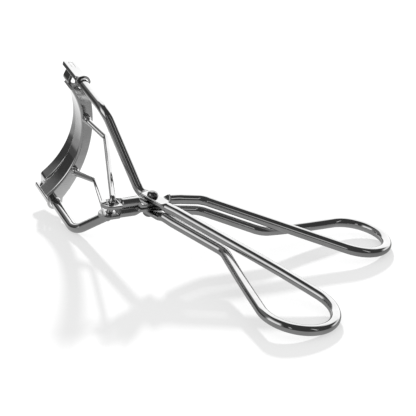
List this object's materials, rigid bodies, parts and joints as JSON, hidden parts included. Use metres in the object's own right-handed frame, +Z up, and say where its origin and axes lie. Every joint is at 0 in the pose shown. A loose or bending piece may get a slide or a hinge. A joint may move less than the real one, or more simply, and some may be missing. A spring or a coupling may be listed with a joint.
{
  "type": "eyelash curler",
  "caption": "Scissor-action eyelash curler of bent wire: finger rings, a riveted cross-over, a fixed curved jaw and a sliding padded jaw driven by a wire link.",
  "frame": {"origin": "middle of the tool's footprint, on the table it lies on", "axes": "+Z up from the table; +X from the jaws towards the finger rings, along the straight side of the frame wire's ring"},
  "size_m": [0.1238, 0.0746, 0.0464],
  "materials": {
    "polished_nickel": "mirror-polished dark nickel plate",
    "rivet_steel": "polished dark steel",
    "black_rubber": "satin black rubber"
  },
  "bodies": {
    "frame": {"frame_wire": "polished_nickel", "pivot_rivet": "rivet_steel", "upper_jaw": "polished_nickel"},
    "lever": {"lever_wire": "polished_nickel"},
    "lower_jaw": {"lower_jaw": "polished_nickel", "lash_pad": "black_rubber"},
    "link": {"link_wire": "polished_nickel"}
  },
  "joints": [
    {"name": "lever_squeeze", "type": "hinge", "parent": "frame", "child": "lever", "pos_m": [-0.00862, -0.01481, 0.01571], "axis": [-0.217, -0.0832, -0.9726], "range_deg": [-30, 4]},
    {"name": "jaw_slide", "type": "slide", "parent": "frame", "child": "lower_jaw", "axis": [-0.8616, 0.4846, 0.1508], "range_m": [-0.00651, 0.00089]},
    {"name": "link_rock", "type": "hinge", "parent": "lower_jaw", "child": "link", "pos_m": [-0.04346, -0.00477, 0.02262], "axis": [-0.217, -0.0832, -0.9726], "range_deg": [-4.95, 0.75]}
  ],
  "couplings": [
    {"joint": "jaw_slide", "follows": "lever_squeeze", "m_per_rad": 0.01218},
    {"joint": "link_rock", "follows": "lever_squeeze", "ratio": 0.1617}
  ]
}
